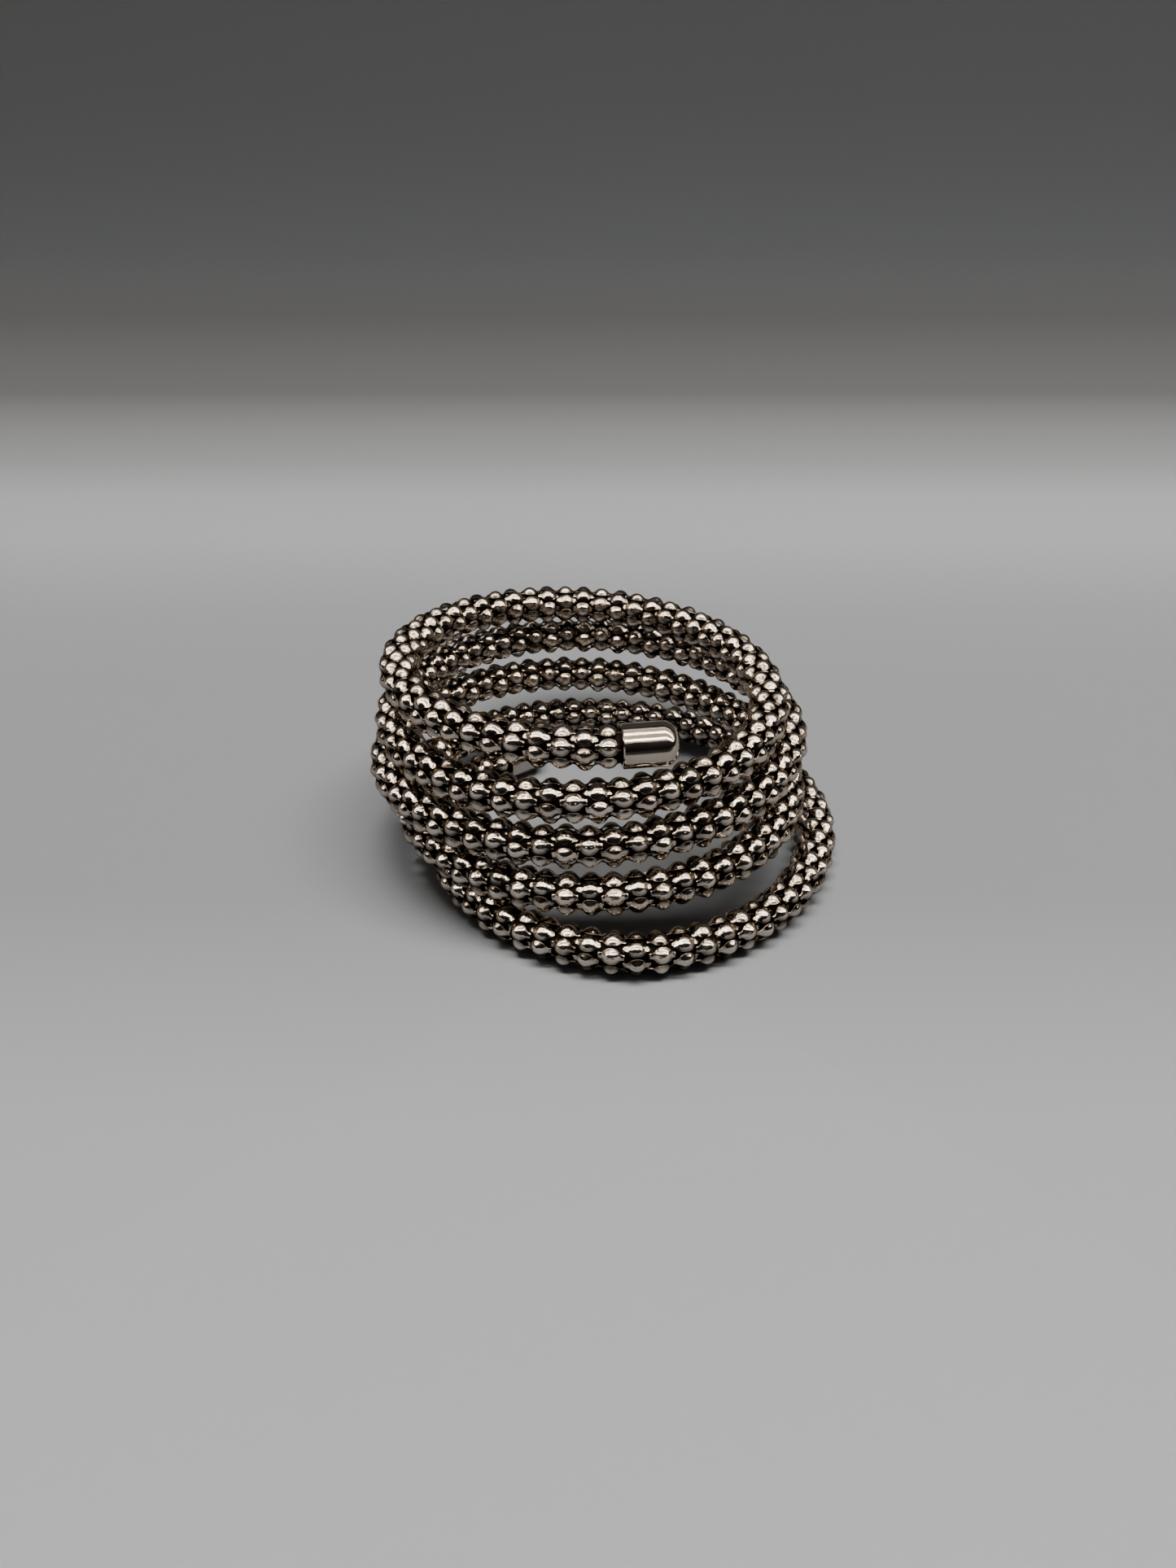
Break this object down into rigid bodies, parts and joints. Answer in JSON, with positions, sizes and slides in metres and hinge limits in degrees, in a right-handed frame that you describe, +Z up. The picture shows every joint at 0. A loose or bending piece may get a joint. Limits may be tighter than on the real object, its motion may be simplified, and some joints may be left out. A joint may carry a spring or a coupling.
{
  "type": "spiral coil bracelet",
  "caption": "Springy coil bracelet of silver-tone domed mesh chain wound in stacked turns that wrap the wrist, with a smooth bullet-shaped cap on each end.",
  "frame": {"origin": "on the surface that the coil stands on, under the middle of its footprint", "axes": "+Z up through the hollow of the coil, -Y towards the front, where the top end and its cap lie and the cap points to +X"},
  "size_m": [0.0876, 0.0864, 0.0401],
  "materials": {
    "plated_chain": "polished silver-tone plating with dark gaps between the domed cups",
    "spring_steel": "dull drawn steel wire",
    "polished_cap": "mirror-polished silver-tone plating"
  },
  "bodies": {
    "root": {"popcorn_chain": "plated_chain", "spring_wire": "spring_steel", "end_cap_top": "polished_cap", "end_cap_bottom": "polished_cap"}
  },
  "joints": []
}
